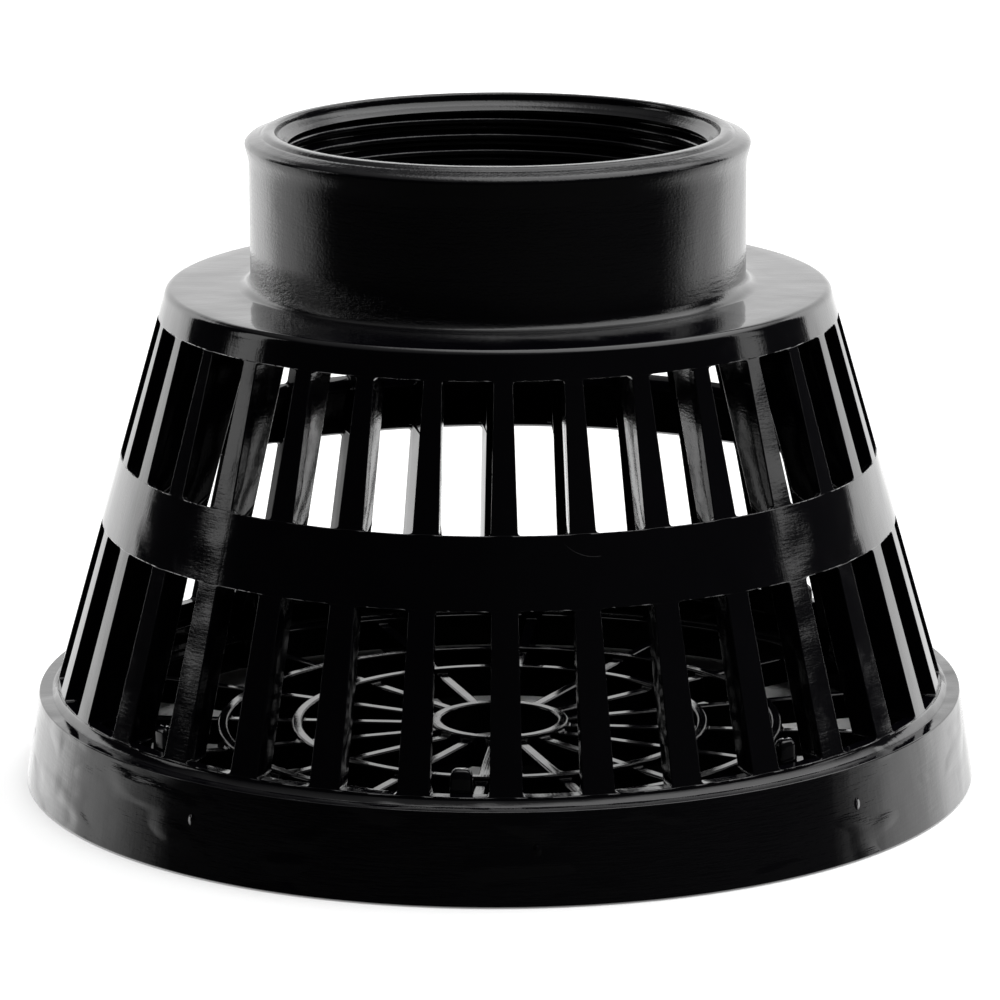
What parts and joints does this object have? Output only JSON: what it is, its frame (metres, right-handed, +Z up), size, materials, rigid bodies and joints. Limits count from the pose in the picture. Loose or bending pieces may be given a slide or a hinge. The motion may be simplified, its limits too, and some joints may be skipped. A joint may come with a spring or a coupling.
{
  "type": "foot valve",
  "caption": "Plastic suction foot valve: slotted conical strainer cage with a threaded collar, snap-in bottom grid and spring poppet check valve in its neck.",
  "frame": {"origin": "on the valve's vertical axis, in the plane the skirt stands on", "axes": "+Z up along the axis towards the threaded collar; -Y is the front, in the middle of a rib"},
  "size_m": [0.13, 0.13, 0.0887],
  "materials": {
    "black_plastic": "gloss",
    "black_rubber": "matte",
    "stainless_steel": "satin"
  },
  "bodies": {
    "body": {"strainer_body": "black_plastic", "valve_seat": "black_plastic", "seat_gasket": "black_rubber", "pipe_gasket": "black_rubber", "return_spring": "stainless_steel"},
    "poppet": {"poppet_plate": "black_plastic", "poppet_seal": "black_rubber", "seal_clamp_plate": "stainless_steel", "valve_stem": "stainless_steel", "spring_retainer": "stainless_steel", "stem_nut": "stainless_steel"},
    "grid": {"bottom_grid": "black_plastic"}
  },
  "joints": [
    {"name": "valve_lift", "type": "slide", "parent": "body", "child": "poppet", "axis": [0, 0, 1], "range_m": [0, 0.006], "stiffness_N_per_m": 120, "springref_m": -0.004, "deforming": ["return_spring"]},
    {"name": "grid_release", "type": "slide", "parent": "body", "child": "grid", "axis": [0, 0, -1], "range_m": [0, 0.03]}
  ]
}
